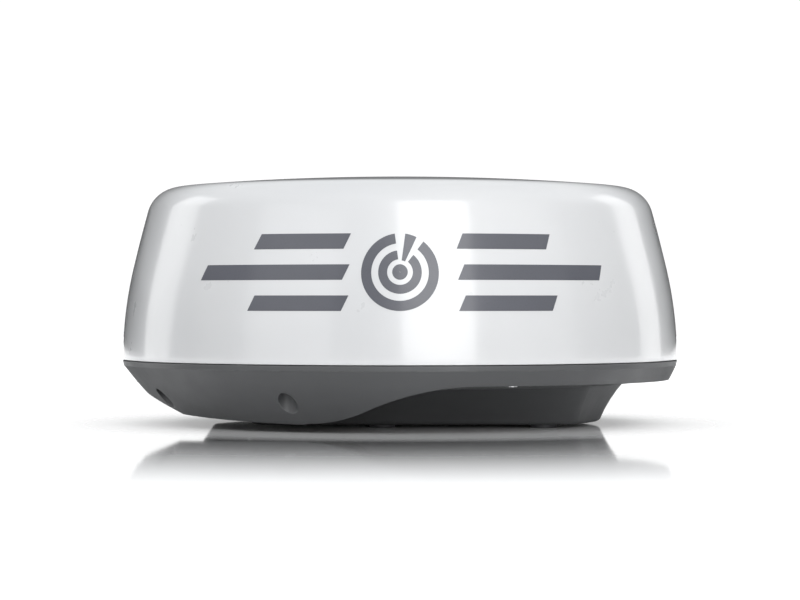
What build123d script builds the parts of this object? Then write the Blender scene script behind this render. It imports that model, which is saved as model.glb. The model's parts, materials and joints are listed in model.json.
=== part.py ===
from build123d import *
import math
import os

# A marine radar dome: a white plastic cover on a cast base, with a rotating array inside.
# Frame: origin on the floor under the dome's axis, +X right, +Y to the rear, +Z up, in millimetres.

os.makedirs("parts", exist_ok=True)

# --- driving dimensions -------------------------------------------------------------------------

# cover
COVER_RADIUS = 255.0
COVER_TOP = 225.5
COVER_RIM_Z = 59.3
COVER_WALL = 4.0
LOWER_WALL_RADIUS = 364.0
LOWER_WALL_TURN = 13.2
CROWN_CORNER = (226.4, 214.7)
CORNER_SHIFT = (0.76, 0.93)
SHOULDER_RADIUS = 30.0
COVER_FLANGE_RADIUS = 243.0
COVER_FLANGE_THICKNESS = 4.0
COVER_BOSS_RADIUS = 8.0
COVER_BOSS_TOP = 92.0
COVER_INSERT_RADIUS = 4.0
COVER_INSERT_LENGTH = 15.0
COVER_BORE_DEPTH = 24.0
COVER_SCREW_RADIUS = 2.5
COVER_SCREW_LENGTH = 25.0
SCREW_CLEARANCE_RADIUS = 2.8
WEB_THICKNESS = 4.0

# base casting
BAND_TOP_Z = 58.7
BAND_Z = 54.5
BAND_RADIUS = 254.2
SKIRT_SECTIONS = [(BAND_Z, BAND_RADIUS, 0.0), (45.0, 248.4, 2.1), (5.0, 215.5, 8.8)]
CASTING_WALL = 5.0
TRAY_RADIUS = 240.0
TRAY_MOUTH_RADIUS = 200.0
SEAL_GROOVE = (249.2, 244.8)
SEAL_GROOVE_DEPTH = 3.0
TRAY_FLOOR_Z = 45.5
RIM_UNDERSIDE_Z = 41.0
CEILING_Z = 37.5
CEILING_INNER_RADIUS = 206.0
CEILING_OUTER_RADIUS = 238.0
SCOOP_START = (-80.0, 8.0)
SCOOP_END_X = 67.0
SCOOP_LOWER_RADIUS = 120.0
LOBE_FRONT_Y = -190.0
LOBE_FRONT_Z = 7.3
LOBE_RISE = 0.05
LEFT_SCOOP_SHIFT = 40.0
BEVEL_POINT = (-205.5, 17.8)
BEVEL_SLOPE = 0.45
PLINTH_Z = 3.1
PLINTH_RADIUS = 184.0
PLINTH_FRONT = 106.0
PLINTH_LEFT = 132.0
PLINTH_CORNER = 22.0
PLINTH_NOTCH_Y = 40.0
PLINTH_NOTCH_CORNER = 14.0
FLARE_LINEAR = 0.372
FLARE_SQUARE = 0.0074
PLINTH_EDGE_RADIUS = 4.0
PLINTH_FLOOR_Z = 8.0
RECESS_HALF_WIDTH = 45.0
RECESS_WALL_Y = 140.0

# cover screws, on one circle
SCREW_CIRCLE = 229.0
SCREW_AZIMUTHS = [side * a for a in (24.5, 65.5, 114.5, 155.5) for side in (-1, 1)]
LOBE_SCREW_AZIMUTHS = [-24.5, -65.5]
POCKET_RADIUS = 8.5
COUNTERBORE_RADIUS = 6.5
SEAT_Z = TRAY_FLOOR_Z
SEAT_THICKNESS = 5.0
SEAT_BOSS_RADIUS = 11.8
BOSS_BOTTOM_Z = SEAT_Z + SEAT_THICKNESS + 0.3
VENT_AZIMUTH = -88.0
VENT_CIRCLE = 235.5
VENT_SEAT_Z = 42.0
VENT_HOLE_RADIUS = 3.6

# fixings to the boat
BOLT_SPACING_X = 232.5
BOLT_SPACING_Y = 141.5
BOLT_RADIUS = 4.0
INSERT_RADIUS = 6.5
INSERT_LENGTH = 16.0
PAD_RADIUS = 12.25
PAD_CENTRES = [(-16, -88), (128, -88), (128, 88), (-16, 88), (-112, 40)]

# drive
CHASSIS_RADIUS = 214.0
CHASSIS_SCREW_CIRCLE = 207.0
CHASSIS_THICKNESS = 2.5
CHASSIS_TOP = TRAY_FLOOR_Z + CHASSIS_THICKNESS
BEARING_BORE = 7.5
BEARING_OUTER = 16.0
BEARING_WIDTH = 9.0
BALL_CIRCLE = 12.0
BALL_RADIUS = 2.4
BALL_COUNT = 11
BEARING_BOTTOMS = (CHASSIS_TOP + 4.0, CHASSIS_TOP + 38.0)
HOUSING_TOP = 98.0
SPINDLE_FLANGE_Z = 100.0
PULLEY_Z = 106.0
PULLEY_HEIGHT = 10.0
MAIN_PULLEY_RADIUS = 46.0
MOTOR_PULLEY_RADIUS = 11.5
PULLEY_LIP = 2.5
PULLEY_LIP_HEIGHT = 1.2
BELT_GAP = 0.3
BELT_THICKNESS = 1.4
MOTOR_CENTRE = (-85.0, -45.0)
MOTOR_RADIUS = 21.0
MOTOR_TOP = 94.0
SHAFT_RADIUS = 2.5
RUNNING_GAP = 0.05

# electronics
MAIN_BOARD_Z = 58.0
POWER_BOARD_Z = 56.0
SENSOR_Z = 97.0
MAGNET_X = 42.0

# rear socket
CONNECTOR_Z = 21.0
CONNECTOR_RADIUS = 9.0
CONNECTOR_LENGTH = 12.0

# rotating array
SPINDLE_HEAD_RADIUS = 14.0
SPINDLE_TOP = 124.0
ARRAY_BOARD_Y = -13.0
PATCH_COUNT = 22
PATCH_PITCH = 18.0
ARRAY_HALF_LENGTH = 212.0
ARRAY_BOTTOM = 132.0
ARRAY_TOP = 192.0
ARRAY_DEPTH = 24.0
SHEET = 2.0
BOARD_THICKNESS = 1.6


def save(node, shape):
    export_step(shape, f"parts/{node}.step")


def polar(radius, azimuth):
    """Point at an azimuth measured from the front (-Y) towards +X."""
    turn = math.radians(azimuth)
    return radius * math.sin(turn), -radius * math.cos(turn)


def rod(radius, low, high, at=(0, 0)):
    """Upright cylinder between two heights."""
    return Pos(at[0], at[1], (low + high) / 2) * Cylinder(radius, high - low)


def tube(outer, inner, low, high, at=(0, 0)):
    return rod(outer, low, high, at) - rod(inner, low - 1, high + 1, at)


def block(x, y, z):
    """Box from three (low, high) pairs."""
    centre = [(low + high) / 2 for low, high in (x, y, z)]
    return Pos(*centre) * Box(x[1] - x[0], y[1] - y[0], z[1] - z[0])


def turned(points):
    """Solid of revolution about Z of a closed (radius, height) outline."""
    return revolve(make_face(Plane.XZ * Polyline(points, close=True)), Axis.Z)


def cap_screw(radius, head_radius, head_height, seat, length, at, up=1):
    """Cap-head screw: up=1 has its head above the seat, up=-1 below it."""
    shank = rod(radius, *sorted((seat, seat - up * length)), at)
    head = rod(head_radius, *sorted((seat, seat + up * head_height)), at)
    socket = rod(radius * 0.55, *sorted((seat + up * head_height * 0.4, seat + up * (head_height + 1))), at)
    return shank + head - socket


# --- cover --------------------------------------------------------------------------------------

def dome_solid(inset):
    """Solid under the dome's outer surface, moved inwards by inset."""
    rim = (COVER_RADIUS - inset, COVER_RIM_Z)
    corner = (CROWN_CORNER[0] - CORNER_SHIFT[0] * inset, CROWN_CORNER[1] - CORNER_SHIFT[1] * inset)
    apex = (0, COVER_TOP - inset)
    lower = JernArc(rim, (0, 1), LOWER_WALL_RADIUS - inset, LOWER_WALL_TURN)
    upper = TangentArc(lower @ 1, corner, tangent=lower % 1)
    crown = TangentArc(apex, corner, tangent=(1, 0))
    sides = [lower, upper, crown, Line(apex, (0, COVER_RIM_Z)), Line((0, COVER_RIM_Z), rim)]
    solid = revolve(make_face(Plane.XZ * Curve(sides)), Axis.Z)
    shoulder = [e for e in solid.edges().filter_by(GeomType.CIRCLE) if abs(e.center().Z - corner[1]) < 1]
    return fillet(shoulder, SHOULDER_RADIUS - inset)


def make_radome_cover():
    shell = dome_solid(0) - dome_solid(COVER_WALL)
    flange_top = COVER_RIM_Z + COVER_FLANGE_THICKNESS
    cover = shell + tube(COVER_RADIUS - COVER_WALL / 2, COVER_FLANGE_RADIUS, COVER_RIM_Z, flange_top)
    inside = dome_solid(COVER_WALL / 2)
    for azimuth in SCREW_AZIMUTHS:
        at = polar(SCREW_CIRCLE, azimuth)
        web = block((0, COVER_RADIUS - SCREW_CIRCLE), (-WEB_THICKNESS / 2, WEB_THICKNESS / 2),
                    (flange_top - 1, COVER_BOSS_TOP - 4))
        web = Pos(at[0], at[1], 0) * Rot(0, 0, azimuth - 90) * web
        cover += (web & inside) + rod(COVER_BOSS_RADIUS, BOSS_BOTTOM_Z, COVER_BOSS_TOP, at)
        cover -= rod(COVER_INSERT_RADIUS, BOSS_BOTTOM_Z - 1, BOSS_BOTTOM_Z + COVER_INSERT_LENGTH, at)
        cover -= rod(SCREW_CLEARANCE_RADIUS, BOSS_BOTTOM_Z, BOSS_BOTTOM_Z + COVER_BORE_DEPTH, at)
    return cover


def make_cover_inserts():
    top = BOSS_BOTTOM_Z + COVER_INSERT_LENGTH
    return Compound([tube(COVER_INSERT_RADIUS, COVER_SCREW_RADIUS + RUNNING_GAP, BOSS_BOTTOM_Z, top,
                          polar(SCREW_CIRCLE, a)) for a in SCREW_AZIMUTHS])


# --- base casting -------------------------------------------------------------------------------

def skirt_solid(inset):
    """Sloped skirt: circles that shift away from the lobe as they go down, so it is steepest there."""
    away = math.sqrt(0.5)
    rings = [Pos(shift * away, shift * away, z) * Circle(radius - inset)
             for z, radius, shift in SKIRT_SECTIONS]
    return loft([ring.face() for ring in rings])


def scoop_cutter():
    """Prism along Y under the swept-up lower edge: two arcs that meet at an inflection."""
    rise = RIM_UNDERSIDE_Z - SCOOP_START[1]
    run = SCOOP_END_X - SCOOP_START[0]
    turn = 2 * math.atan2(rise, run)
    upper_radius = run / math.sin(turn) - SCOOP_LOWER_RADIUS
    lower = JernArc(SCOOP_START, (1, 0), SCOOP_LOWER_RADIUS, math.degrees(turn))
    upper = JernArc(lower @ 1, lower % 1, upper_radius, -math.degrees(turn))
    far = COVER_RADIUS + 50
    depth = -30
    under = Polyline(upper @ 1, (far, RIM_UNDERSIDE_Z), (far, depth), (SCOOP_START[0], depth), SCOOP_START)
    face = make_face(Plane.XZ * Curve([lower, upper, under]))
    return extrude(face, amount=far, both=True)


def lobe_solid(inset):
    """Skirt with both scoops, the lobe's rising underside and its bevelled left edge cut away."""
    front_scoop = Pos(0, 0, inset) * scoop_cutter()
    left_scoop = Pos(0, LEFT_SCOOP_SHIFT, 0) * mirror(front_scoop, about=Plane((0, 0, 0), z_dir=(1, -1, 0)))
    far = 2 * COVER_RADIUS
    slab = block((-far, far), (-far, far), (-60, 0))
    rise, tilt = math.degrees(math.atan(LOBE_RISE)), math.degrees(math.atan(BEVEL_SLOPE))
    underside = Pos(0, LOBE_FRONT_Y, LOBE_FRONT_Z + inset) * Rot(rise, 0, 0) * slab
    bevel = Pos(BEVEL_POINT[0], 0, BEVEL_POINT[1] + inset) * Rot(0, tilt, 0) * slab
    return skirt_solid(inset) - front_scoop - left_scoop - underside - bevel


def flare(z):
    """How far the plinth's side stands out at a height."""
    climb = z - PLINTH_Z
    return FLARE_LINEAR * climb + FLARE_SQUARE * climb ** 2


def plinth_section(z, outset):
    """Plan of the plinth: a disc with its front cut flat, its left front notched and its corners rounded."""
    far = 2 * PLINTH_RADIUS
    plan = Circle(PLINTH_RADIUS + outset) & Pos(0, far / 2 - PLINTH_FRONT - outset) * Rectangle(2 * far, far)
    plan -= Pos(-far / 2 - PLINTH_LEFT - outset, PLINTH_NOTCH_Y - outset - far / 2) * Rectangle(far, far)
    plan = fillet([v for v in plan.vertices() if v.Y < 0], PLINTH_CORNER)
    plan = fillet([v for v in plan.vertices() if v.Y > 0], PLINTH_NOTCH_CORNER)
    return (Pos(0, 0, z) * plan).face()


def plinth_solid():
    heights = (PLINTH_Z, 20, CEILING_Z + 4)
    solid = loft([plinth_section(z, flare(z)) for z in heights])
    bottom = solid.faces().sort_by(Axis.Z)[0]
    return fillet(bottom.edges(), PLINTH_EDGE_RADIUS)


def plinth_cavity():
    """Space inside the plinth, with a narrower mouth up through the tray floor."""
    shoulder = 34.0
    heights = (PLINTH_FLOOR_Z, 20, shoulder)
    lower = loft([plinth_section(z, flare(z) - CASTING_WALL) for z in heights])
    mouth = extrude(plinth_section(shoulder - 1, 6), amount=TRAY_FLOOR_Z - shoulder + 2)
    recess = block((-RECESS_HALF_WIDTH - CASTING_WALL, RECESS_HALF_WIDTH + CASTING_WALL),
                   (RECESS_WALL_Y - CASTING_WALL, 300), (0, 60))
    return lower + mouth - recess


def lobe_cavity():
    """Space inside the lobe, open to the tray near the centre, with walls left round the pockets."""
    space = lobe_solid(CASTING_WALL)
    below_floor = rod(COVER_RADIUS, 0, TRAY_FLOOR_Z - CASTING_WALL)
    mouth = rod(TRAY_MOUTH_RADIUS, TRAY_FLOOR_Z - 10, TRAY_FLOOR_Z + 1)
    space = space & (below_floor + mouth)
    for azimuth in LOBE_SCREW_AZIMUTHS:
        space -= rod(POCKET_RADIUS + 3.5, 0, 60, polar(SCREW_CIRCLE, azimuth))
    return space - rod(POCKET_RADIUS + 3.5, 0, 60, polar(VENT_CIRCLE, VENT_AZIMUTH))


def make_base_casting():
    band = turned([(0, BAND_Z - 0.5), (BAND_RADIUS, BAND_Z - 0.5), (BAND_RADIUS, BAND_Z),
                   (COVER_RADIUS, BAND_TOP_Z), (0, BAND_TOP_Z)])
    ceiling = turned([(0, CEILING_Z), (CEILING_INNER_RADIUS, CEILING_Z),
                      (CEILING_OUTER_RADIUS, RIM_UNDERSIDE_Z),
                      (CEILING_OUTER_RADIUS, TRAY_FLOOR_Z), (0, TRAY_FLOOR_Z)])
    casting = lobe_solid(0) + band + ceiling + plinth_solid()
    casting -= rod(TRAY_RADIUS, TRAY_FLOOR_Z, 100)
    casting -= plinth_cavity() + lobe_cavity()
    casting -= block((-RECESS_HALF_WIDTH, RECESS_HALF_WIDTH), (RECESS_WALL_Y, 300), (-1, CEILING_Z))
    casting -= tube(*SEAL_GROOVE, BAND_TOP_Z - SEAL_GROOVE_DEPTH, BAND_TOP_Z + 1)
    for azimuth in SCREW_AZIMUTHS:
        at = polar(SCREW_CIRCLE, azimuth)
        pocket = POCKET_RADIUS if azimuth in LOBE_SCREW_AZIMUTHS else COUNTERBORE_RADIUS
        casting += rod(SEAT_BOSS_RADIUS, SEAT_Z - 1, SEAT_Z + SEAT_THICKNESS, at)
        casting -= rod(pocket, -1, SEAT_Z, at) + rod(SCREW_CLEARANCE_RADIUS, 30, 60, at)
    vent_at = polar(VENT_CIRCLE, VENT_AZIMUTH)
    casting -= rod(POCKET_RADIUS, -1, VENT_SEAT_Z, vent_at) + rod(VENT_HOLE_RADIUS, 30, 60, vent_at)
    for at in bolt_centres():
        casting += rod(INSERT_RADIUS + 3.5, PLINTH_Z + 1, PLINTH_Z + INSERT_LENGTH + 3, at)
        casting -= rod(INSERT_RADIUS, 0, PLINTH_Z + INSERT_LENGTH, at)
    for at in chassis_screw_centres():
        casting -= rod(2.0, TRAY_FLOOR_Z - 4.3, 60, at)
    casting -= Pos(0, RECESS_WALL_Y, CONNECTOR_Z) * Rot(90, 0, 0) * Cylinder(8.0, 30)
    return casting


def bolt_centres():
    return [(sx * BOLT_SPACING_X / 2, sy * BOLT_SPACING_Y / 2) for sx in (-1, 1) for sy in (-1, 1)]


def chassis_screw_centres():
    return [polar(CHASSIS_SCREW_CIRCLE, 20 + 60 * i) for i in range(6)]


# --- fittings of the base -----------------------------------------------------------------------

def make_rim_seal():
    outer, inner = SEAL_GROOVE
    return tube(outer - 0.2, inner + 0.2, BAND_TOP_Z - SEAL_GROOVE_DEPTH, COVER_RIM_Z - 0.3)


def make_cover_screws():
    return Compound([cap_screw(COVER_SCREW_RADIUS, 4.7, 4.5, SEAT_Z - 1, COVER_SCREW_LENGTH,
                               polar(SCREW_CIRCLE, a), up=-1) for a in SCREW_AZIMUTHS])


def make_screw_washers():
    return Compound([tube(6.0, COVER_SCREW_RADIUS, SEAT_Z - 1, SEAT_Z, polar(SCREW_CIRCLE, a))
                     for a in SCREW_AZIMUTHS])


def make_mounting_inserts():
    return Compound([tube(INSERT_RADIUS, BOLT_RADIUS, PLINTH_Z, PLINTH_Z + INSERT_LENGTH, at)
                     for at in bolt_centres()])


def make_rest_pads():
    pads = []
    for at in PAD_CENTRES:
        pad = rod(PAD_RADIUS, 0, PLINTH_Z, at)
        pads.append(chamfer(pad.edges().filter_by(GeomType.CIRCLE).sort_by(Axis.Z)[0], 0.6))
    return Compound(pads)


def along_y(radius, near, far, x=0.0, z=CONNECTOR_Z):
    """Cylinder along Y between two distances."""
    return Pos(x, (near + far) / 2, z) * Rot(90, 0, 0) * Cylinder(radius, far - near)


def make_connector_shell():
    wall = RECESS_WALL_Y
    shell = along_y(13.0, wall + 1, wall + 4)
    shell += along_y(CONNECTOR_RADIUS, wall + 4, wall + 4 + CONNECTOR_LENGTH)
    shell += along_y(7.9, wall - 18, wall + 1)
    key = block((-1.5, 1.5), (wall + 4, wall + 12), (CONNECTOR_Z + 6, CONNECTOR_Z + 7.5))
    return shell - along_y(7.0, wall - 20, wall + 30) + key


def make_connector_insert():
    wall = RECESS_WALL_Y
    body = along_y(7.0, wall - 16, wall + 2)
    for x, z in pin_centres():
        body -= along_y(0.75, wall - 30, wall + 30, x, z)
    return body


def pin_centres():
    turns = [math.tau * i / 8 for i in range(8)]
    return [(0.0, CONNECTOR_Z)] + [(4.4 * math.cos(a), CONNECTOR_Z + 4.4 * math.sin(a)) for a in turns]


def make_connector_pins():
    wall = RECESS_WALL_Y
    return Compound([along_y(0.75, wall - 20, wall + 10, x, z) for x, z in pin_centres()])


def make_connector_gasket():
    wall = RECESS_WALL_Y
    return along_y(11.5, wall, wall + 1) - along_y(7.9, wall - 1, wall + 2)


def make_connector_nut():
    inner = RECESS_WALL_Y - CASTING_WALL
    hexagon = extrude(Plane((0, inner, CONNECTOR_Z), z_dir=(0, -1, 0)) * RegularPolygon(11.5, 6), 4.5)
    return hexagon - along_y(7.9, inner - 20, inner + 20)


def make_breather_vent():
    at = polar(VENT_CIRCLE, VENT_AZIMUTH)
    body = rod(7.0, VENT_SEAT_Z - 4, VENT_SEAT_Z, at)
    body += rod(VENT_HOLE_RADIUS, VENT_SEAT_Z, TRAY_FLOOR_Z + 1, at)
    middle = Pos(at[0], at[1], VENT_SEAT_Z - 3)
    slots = [middle * Rot(0, 0, turn) * Box(20, 1.6, 1.4) for turn in (0, 60, 120)]
    return body - rod(2.2, VENT_SEAT_Z - 3, 60, at) - slots


# --- chassis and drive --------------------------------------------------------------------------

def motor_post_centres():
    return [(MOTOR_CENTRE[0] + sx * 23, MOTOR_CENTRE[1] + sy * 23) for sx in (-1, 1) for sy in (-1, 1)]


def housing_screw_centres():
    return [polar(38, 45 + 90 * i) for i in range(4)]


def joint_screw_centres():
    return [polar(21, 90 * i) for i in range(4)]


def make_chassis_plate():
    plate = rod(CHASSIS_RADIUS, TRAY_FLOOR_Z, CHASSIS_TOP) - rod(12, 0, 60)
    for at in chassis_screw_centres():
        plate -= rod(2.0, 0, 60, at)
    for at in motor_post_centres() + housing_screw_centres() + joint_screw_centres():
        plate -= rod(1.5, 0, 60, at)
    for azimuth in (140, 220):
        at = polar(185, azimuth)
        plate -= rod(9, 0, 60, at)
    return plate


def make_chassis_screws():
    return Compound([cap_screw(2.0, 3.8, 2.4, CHASSIS_TOP, 6.4, at) for at in chassis_screw_centres()])


def make_bearing_housing():
    foot = CHASSIS_TOP + 6
    body = rod(48, CHASSIS_TOP, foot) + rod(24, foot, HOUSING_TOP)
    for turn in range(0, 180, 90):
        rib = block((-44, 44), (-2, 2), (foot, foot + 22))
        body += Rot(0, 0, turn) * rib
    body -= rod(BEARING_OUTER, BEARING_BOTTOMS[0], HOUSING_TOP + 1) + rod(13, 0, 60)
    for at in housing_screw_centres():
        body -= rod(1.5, 0, 60, at)
    return body


def make_housing_screws():
    return Compound([cap_screw(1.5, 2.9, 3, CHASSIS_TOP + 6, 8, at) for at in housing_screw_centres()])


def ball_groove(bottom):
    """Ring that both races give up to the balls."""
    centre = Plane((0, 0, bottom + BEARING_WIDTH / 2))
    return centre * Torus(BALL_CIRCLE, BALL_RADIUS + RUNNING_GAP)


def make_outer_races():
    return Compound([tube(BEARING_OUTER, BALL_CIRCLE + 1.6, z, z + BEARING_WIDTH) - ball_groove(z)
                     for z in BEARING_BOTTOMS])


def make_inner_races():
    return Compound([tube(BALL_CIRCLE - 1.6, BEARING_BORE, z, z + BEARING_WIDTH) - ball_groove(z)
                     for z in BEARING_BOTTOMS])


def make_bearing_balls():
    balls = []
    for z in BEARING_BOTTOMS:
        for i in range(BALL_COUNT):
            x, y = polar(BALL_CIRCLE, 360 / BALL_COUNT * i)
            balls.append(Pos(x, y, z + BEARING_WIDTH / 2) * Sphere(BALL_RADIUS))
    return Compound(balls)


def make_motor_body():
    body = rod(MOTOR_RADIUS, CHASSIS_TOP + 0.5, MOTOR_TOP, MOTOR_CENTRE)
    body = chamfer(body.edges().filter_by(GeomType.CIRCLE), 1.5)
    body += rod(7.5, MOTOR_TOP, MOTOR_TOP + 2, MOTOR_CENTRE)
    body -= rod(SHAFT_RADIUS + RUNNING_GAP, MOTOR_TOP - 20, MOTOR_TOP + 3, MOTOR_CENTRE)
    for at in motor_screw_centres():
        body -= rod(1.5, MOTOR_TOP - 5, MOTOR_TOP + 1, at)
    plug = (MOTOR_CENTRE[0] - MOTOR_RADIUS - 3, MOTOR_CENTRE[0] - MOTOR_RADIUS + 4)
    return body + block(plug, (MOTOR_CENTRE[1] - 7, MOTOR_CENTRE[1] + 7), (52, 60))


def motor_screw_centres():
    return [(MOTOR_CENTRE[0] + 15.5 * math.cos(a), MOTOR_CENTRE[1] + 15.5 * math.sin(a))
            for a in (math.radians(45 + 90 * i) for i in range(4))]


def make_motor_bracket():
    x, y = MOTOR_CENTRE
    plate = extrude(Pos(x, y, MOTOR_TOP) * RectangleRounded(56, 56, 5), amount=3)
    for at in motor_post_centres():
        plate += rod(4, CHASSIS_TOP, MOTOR_TOP + 1, at)
        plate -= rod(1.5, 40, CHASSIS_TOP + 12, at)
    plate -= rod(7.5, MOTOR_TOP - 1, 120, MOTOR_CENTRE)
    for at in motor_screw_centres():
        plate -= rod(1.5, MOTOR_TOP - 1, 120, at)
    return plate


def make_motor_screws():
    return Compound([cap_screw(1.5, 2.8, 2.6, MOTOR_TOP + 3, 7, at) for at in motor_screw_centres()])


def make_bracket_screws():
    return Compound([cap_screw(1.5, 2.8, 2.6, TRAY_FLOOR_Z, 13, at, up=-1) for at in motor_post_centres()])


def pulley_body(radius, at):
    """Belt pulley's rim: a cylindrical land between two lips."""
    top = PULLEY_Z + PULLEY_HEIGHT
    lips = rod(radius + PULLEY_LIP, PULLEY_Z, PULLEY_Z + PULLEY_LIP_HEIGHT, at)
    lips += rod(radius + PULLEY_LIP, top - PULLEY_LIP_HEIGHT, top, at)
    return lips + rod(radius, PULLEY_Z, top, at)


def make_drive_belt():
    def loop(extra):
        rims = Circle(MAIN_PULLEY_RADIUS + extra) + Pos(*MOTOR_CENTRE) * Circle(MOTOR_PULLEY_RADIUS + extra)
        return make_hull(rims.edges())
    band = loop(BELT_GAP + BELT_THICKNESS) - loop(BELT_GAP)
    gap = PULLEY_LIP_HEIGHT + 0.4
    return extrude(Pos(0, 0, PULLEY_Z + gap) * band, amount=PULLEY_HEIGHT - 2 * gap)


def make_turntable_pulley():
    top = PULLEY_Z + PULLEY_HEIGHT
    pulley = pulley_body(MAIN_PULLEY_RADIUS, (0, 0)) - rod(40, PULLEY_Z + 4, top + 1)
    pulley += rod(24, PULLEY_Z, PULLEY_Z + 6)
    for turn in range(0, 180, 45):
        pulley += Rot(0, 0, turn) * block((-41, 41), (-1.5, 1.5), (PULLEY_Z + 1, PULLEY_Z + 8))
    pulley -= rod(SPINDLE_HEAD_RADIUS, PULLEY_Z - 1, top + 1)
    for at in pulley_screw_centres():
        pulley -= rod(4, PULLEY_Z + 6, top, at) + rod(1.5, PULLEY_Z - 1, top, at)
    return pulley - rod(3, PULLEY_Z - 1, PULLEY_Z + 2, (MAGNET_X, 0))


def pulley_screw_centres():
    return [polar(18.5, 22.5 + 90 * i) for i in range(4)]


def make_pulley_screws():
    return Compound([cap_screw(1.5, 2.8, 2.6, PULLEY_Z + 6, 10, at) for at in pulley_screw_centres()])


def make_spindle():
    lower, upper = BEARING_BOTTOMS
    spindle = rod(BEARING_BORE, 36, SPINDLE_FLANGE_Z) + rod(9.8, lower + BEARING_WIDTH, upper)
    spindle += rod(24, SPINDLE_FLANGE_Z, PULLEY_Z) + rod(SPINDLE_HEAD_RADIUS, PULLEY_Z, SPINDLE_TOP)
    spindle -= rod(3, 0, 200) + tube(20, BEARING_BORE - 1, lower - 2.4, lower - 1.2)
    for at in pulley_screw_centres():
        spindle -= rod(1.5, PULLEY_Z - 4, PULLEY_Z + 1, at)
    for at in antenna_bolt_centres():
        spindle -= rod(1.5, SPINDLE_TOP - 10, SPINDLE_TOP + 1, at)
    return spindle


def make_retaining_ring():
    low = BEARING_BOTTOMS[0] - 2.4
    ring = tube(BEARING_BORE + 1.5, BEARING_BORE - 1, low, low + 1.2)
    return ring - block((-1.5, 1.5), (-20, 0), (low - 1, low + 3))


def make_motor_shaft():
    return rod(SHAFT_RADIUS, MOTOR_TOP - 18, PULLEY_Z + PULLEY_HEIGHT + 1.5, MOTOR_CENTRE)


def make_motor_pulley():
    hub = rod(7, PULLEY_Z - 5, PULLEY_Z, MOTOR_CENTRE)
    pulley = pulley_body(MOTOR_PULLEY_RADIUS, MOTOR_CENTRE) + hub
    pulley -= rod(SHAFT_RADIUS, 90, 130, MOTOR_CENTRE)
    return pulley - Pos(0, MOTOR_CENTRE[1] - 10, 0) * along_y(1.0, 0, 10, MOTOR_CENTRE[0], PULLEY_Z - 2.5)


def make_pulley_grub_screw():
    x, y = MOTOR_CENTRE
    return along_y(1.0, y - 6.8, y - SHAFT_RADIUS, x, PULLEY_Z - 2.5)


def make_rotary_joint_housing():
    cup = tube(11, 8.5, 24, TRAY_FLOOR_Z) + rod(11, 20, 24) + tube(26, 8.5, TRAY_FLOOR_Z - 2.5, TRAY_FLOOR_Z)
    for at in joint_screw_centres():
        cup -= rod(1.5, 0, 60, at)
    return cup


def make_rotary_joint_screws():
    return Compound([cap_screw(1.5, 2.8, 2, TRAY_FLOOR_Z - 2.5, 5, at, up=-1)
                     for at in joint_screw_centres()])


def make_rotary_joint_rotor():
    return rod(BEARING_BORE, 30, 36) + rod(4, 26, 30)


def make_sensor_bracket():
    arm = block((23.9, 52), (-6, 6), (SENSOR_Z - 3, SENSOR_Z)) - rod(24, 0, 120)
    return arm + (block((23.9, 30), (-2, 2), (SENSOR_Z - 14, SENSOR_Z - 3)) - rod(24, 0, 120))


def make_heading_sensor():
    chip = block((MAGNET_X - 3, MAGNET_X + 3), (-2.5, 2.5), (SENSOR_Z + BOARD_THICKNESS, SENSOR_Z + 5))
    return block((34, 51), (-5.5, 5.5), (SENSOR_Z, SENSOR_Z + BOARD_THICKNESS)) + chip


def make_index_magnet():
    return rod(3, PULLEY_Z - 1.5, PULLEY_Z + 2, (MAGNET_X, 0))


# --- electronics --------------------------------------------------------------------------------

def corner_centres(x, y, inset=6):
    return [(px, py) for px in (x[0] + inset, x[1] - inset) for py in (y[0] + inset, y[1] - inset)]


def make_board(x, y, z):
    board = block(x, y, (z, z + BOARD_THICKNESS))
    for at in corner_centres(x, y):
        board -= rod(1.5, z - 1, z + 3, at)
    return board


def make_board_standoffs(boards):
    return Compound([tube(3, 1.5, CHASSIS_TOP, z, at) for x, y, z in boards for at in corner_centres(x, y)])


def make_board_screws(boards):
    return Compound([cap_screw(1.5, 2.8, 2, z + BOARD_THICKNESS, 8, at)
                     for x, y, z in boards for at in corner_centres(x, y)])


def make_board_chips():
    top = MAIN_BOARD_Z + BOARD_THICKNESS
    sizes = [(-112, 70, 14, 14, 2), (-112, 96, 22, 22, 2.4), (-84, 74, 9, 9, 1.2), (-82, 128, 9, 14, 1.6),
             (84, 76, 12, 12, 1.8), (102, 104, 12, 18, 2.2), (74, 112, 7, 7, 1.2), (80, 134, 16, 9, 2.0)]
    return Compound([block((x, x + w), (y, y + d), (top, top + h)) for x, y, w, d, h in sizes])


def make_board_headers():
    top = MAIN_BOARD_Z + BOARD_THICKNESS
    shells = []
    for x in (-70, -20, 30):
        outer = block((x, x + 34), (145, 154), (top, top + 9))
        shells.append(outer - block((x + 1.5, x + 32.5), (146.5, 152.5), (top + 2, top + 10)))
    return Compound(shells)


def make_rf_shield_can():
    low = MAIN_BOARD_Z + BOARD_THICKNESS
    can = block((-62, 62), (70, 138), (low, low + 16))
    can = fillet(can.edges().filter_by(Axis.Z), 4)
    return can - block((-61, 61), (71, 137), (low - 1, low + 15))


def make_heat_sink():
    low = MAIN_BOARD_Z + BOARD_THICKNESS + 16
    sink = block((-50, 50), (78, 130), (low, low + 4))
    for i in range(11):
        x = -50 + i * 9.8
        sink += block((x, x + 2), (78, 130), (low + 3, low + 20))
    return sink


def make_power_capacitors():
    low = POWER_BOARD_Z + BOARD_THICKNESS
    cans = []
    for x, y in [(90, -72), (112, -72), (134, -66)]:
        can = rod(9, low, low + 30, (x, y))
        cans.append(fillet(can.edges().filter_by(GeomType.CIRCLE).sort_by(Axis.Z)[-1], 1.5))
    return Compound(cans)


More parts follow.
